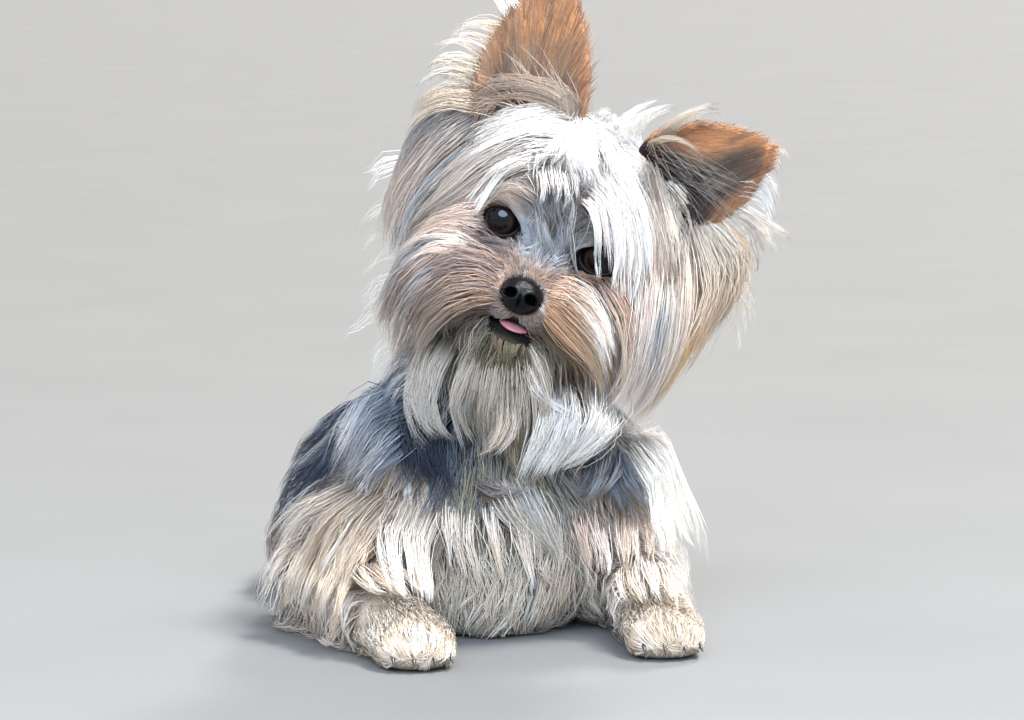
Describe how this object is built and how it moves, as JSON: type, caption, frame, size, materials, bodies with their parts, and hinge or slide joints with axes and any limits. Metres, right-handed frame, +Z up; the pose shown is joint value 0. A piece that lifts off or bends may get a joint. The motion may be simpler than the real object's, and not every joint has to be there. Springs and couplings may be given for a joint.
{
  "type": "yorkshire terrier",
  "caption": "Life-size still model of a Yorkshire terrier lying on its chest, head up and tilted, with a long silky tan and blue-grey coat.",
  "frame": {"origin": "centre of the model's box at floor level, under the belly", "axes": "+Z up, the nose and forepaws towards -Y, the dog's left side towards +X"},
  "size_m": [0.2091, 0.3432, 0.2785],
  "materials": {
    "coat_tan": "long silky hair, tan and cream, pale at the crown",
    "coat_blue": "long silky hair, dark steel blue-grey with paler streaks",
    "eye": "wet, dark brown iris under a clear cornea",
    "nose": "moist black pebbled leather; also lids, lips, pads and claws",
    "tongue": "moist pink"
  },
  "bodies": {
    "root": {"eye_right": "eye", "eye_left": "eye", "nose": "nose", "tongue": "tongue", "ear_right": "coat_tan", "ear_left": "coat_tan", "head": "coat_tan", "tail": "coat_blue", "foreleg_right": "coat_tan", "forepaw_right": "coat_tan", "hindleg_right": "coat_tan", "hindpaw_right": "coat_tan", "foreleg_left": "coat_tan", "forepaw_left": "coat_tan", "hindleg_left": "coat_tan", "hindpaw_left": "coat_tan", "neck": "coat_blue", "trunk": "coat_blue"}
  },
  "joints": []
}
